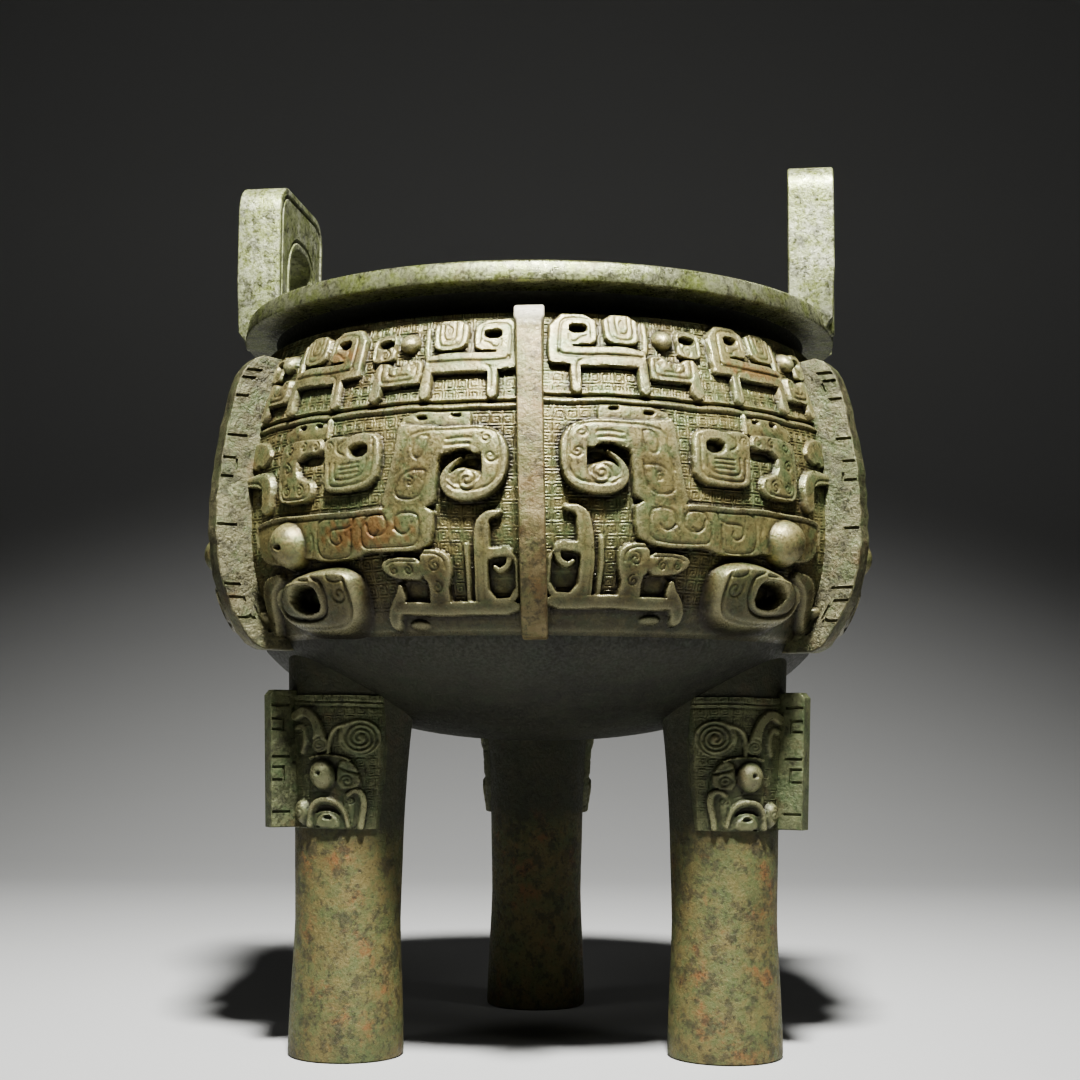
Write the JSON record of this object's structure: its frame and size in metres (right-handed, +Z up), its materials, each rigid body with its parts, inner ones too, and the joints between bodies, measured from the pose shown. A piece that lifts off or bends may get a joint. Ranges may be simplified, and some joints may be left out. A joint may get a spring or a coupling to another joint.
{
  "type": "bronze ding vessel",
  "caption": "Round footed bronze cauldron with upright loop handles, column legs, flanges and animal masks cast in relief.",
  "frame": {"origin": "on the floor, below the middle of the bowl", "axes": "+Z up; -Y towards the front, where a plain dividing flange stands; the handles stand near +X and -X"},
  "size_m": [0.4242, 0.4531, 0.552],
  "materials": {
    "bronze": "cast bronze under an old patina: grey green and olive, pale malachite green, red brown cuprite, dark recesses, dull satin"
  },
  "bodies": {
    "root": {"ding_vessel": "bronze"}
  },
  "joints": []
}
